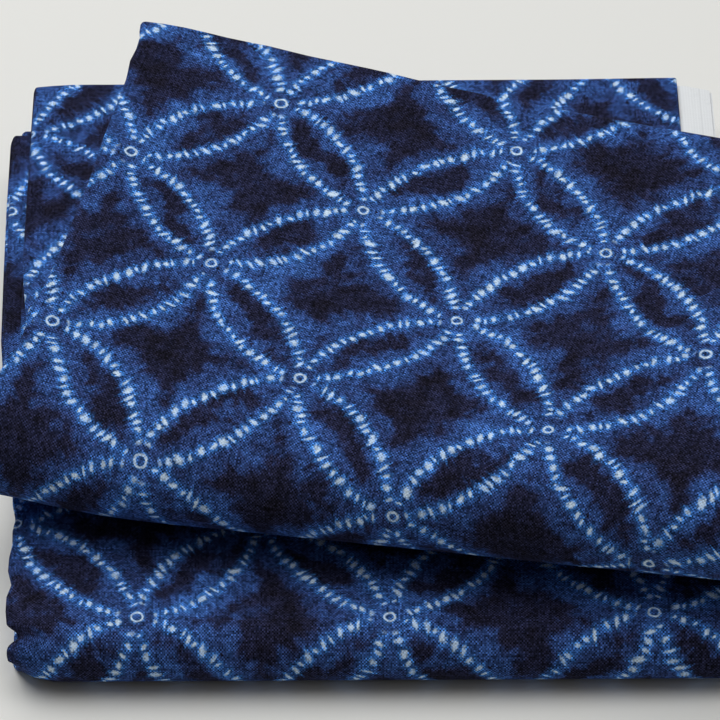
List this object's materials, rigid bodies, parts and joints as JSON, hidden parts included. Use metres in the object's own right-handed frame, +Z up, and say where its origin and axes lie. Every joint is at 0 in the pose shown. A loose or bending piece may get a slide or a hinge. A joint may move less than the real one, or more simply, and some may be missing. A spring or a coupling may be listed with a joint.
{
  "type": "folded dyed cotton cloth",
  "caption": "Length of indigo dyed cotton, folded lengthways in four and back and forth into two stacked packs, the upper one turned, with a white woven edge showing on the right.",
  "frame": {"origin": "middle of the whole folded cloth's box, on the surface that it rests on", "axes": "+X to the right along the lower pack's front fold, +Y away from that fold, +Z up"},
  "size_m": [0.3318, 0.3001, 0.0817],
  "materials": {
    "indigo_cotton": "plain woven cotton, dyed indigo with undyed stitch marks"
  },
  "bodies": {
    "root": {"folded_cloth": "indigo_cotton"}
  },
  "joints": []
}
